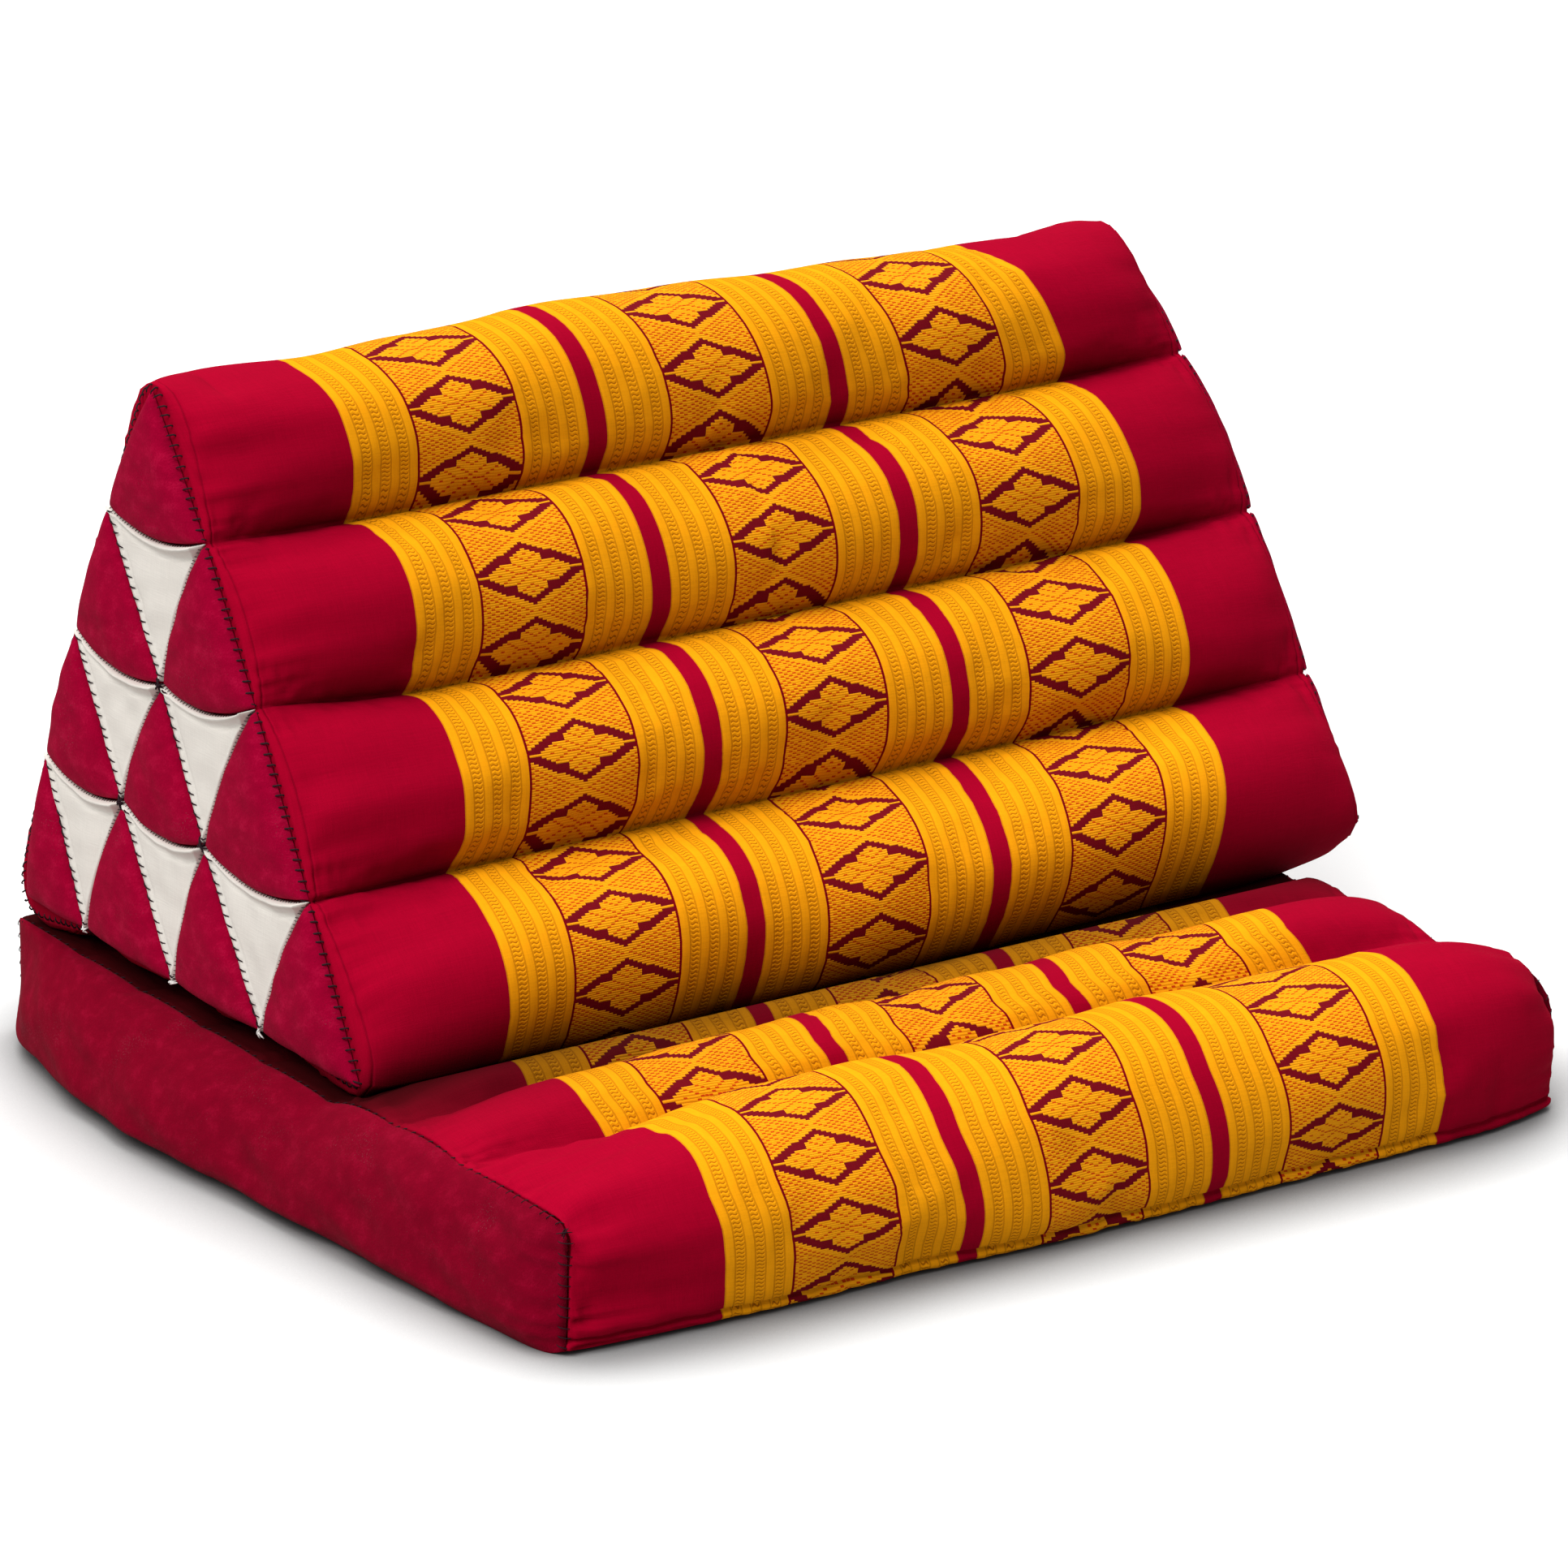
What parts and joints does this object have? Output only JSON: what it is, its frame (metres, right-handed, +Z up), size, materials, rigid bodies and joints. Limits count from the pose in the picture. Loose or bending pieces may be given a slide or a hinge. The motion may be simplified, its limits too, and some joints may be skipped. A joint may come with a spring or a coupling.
{
  "type": "triangular back-rest floor cushion with fold-out seat mat",
  "caption": "Firm floor cushion: a back rest of sewn rolls with triangular pieced ends, lying on the channelled seat mat that folds out from under it.",
  "frame": {"origin": "centre of the whole cushion's box, on the floor", "axes": "+X along the rolls, towards the right end seen from the front; -Y to the front, where the seat mat lies; +Z up"},
  "size_m": [0.5378, 0.4602, 0.2973],
  "materials": {
    "cover": "crimson cotton with woven gold bands",
    "red_patch": "deep red brushed cotton",
    "white_patch": "off-white plain cotton",
    "end_panel": "deep red plain cotton",
    "thread": "dark sewing thread"
  },
  "bodies": {
    "root": {"back_rest": "cover", "seat_mat": "cover", "left_red_1_0": "red_patch", "left_red_2_0": "red_patch", "left_red_2_1": "red_patch", "left_red_3_0": "red_patch", "left_red_3_1": "red_patch", "left_red_3_2": "red_patch", "left_red_4_0": "red_patch", "left_red_4_1": "red_patch", "left_red_4_2": "red_patch", "left_red_4_3": "red_patch", "right_red_1_0": "red_patch", "right_red_2_0": "red_patch", "right_red_2_1": "red_patch", "right_red_3_0": "red_patch", "right_red_3_1": "red_patch", "right_red_3_2": "red_patch", "right_red_4_0": "red_patch", "right_red_4_1": "red_patch", "right_red_4_2": "red_patch", "right_red_4_3": "red_patch", "left_white_2_0": "white_patch", "left_white_3_0": "white_patch", "left_white_3_1": "white_patch", "left_white_4_0": "white_patch", "left_white_4_1": "white_patch", "left_white_4_2": "white_patch", "right_white_2_0": "white_patch", "right_white_3_0": "white_patch", "right_white_3_1": "white_patch", "right_white_4_0": "white_patch", "right_white_4_1": "white_patch", "right_white_4_2": "white_patch", "mat_left_end": "end_panel", "mat_right_end": "end_panel"}
  },
  "joints": []
}
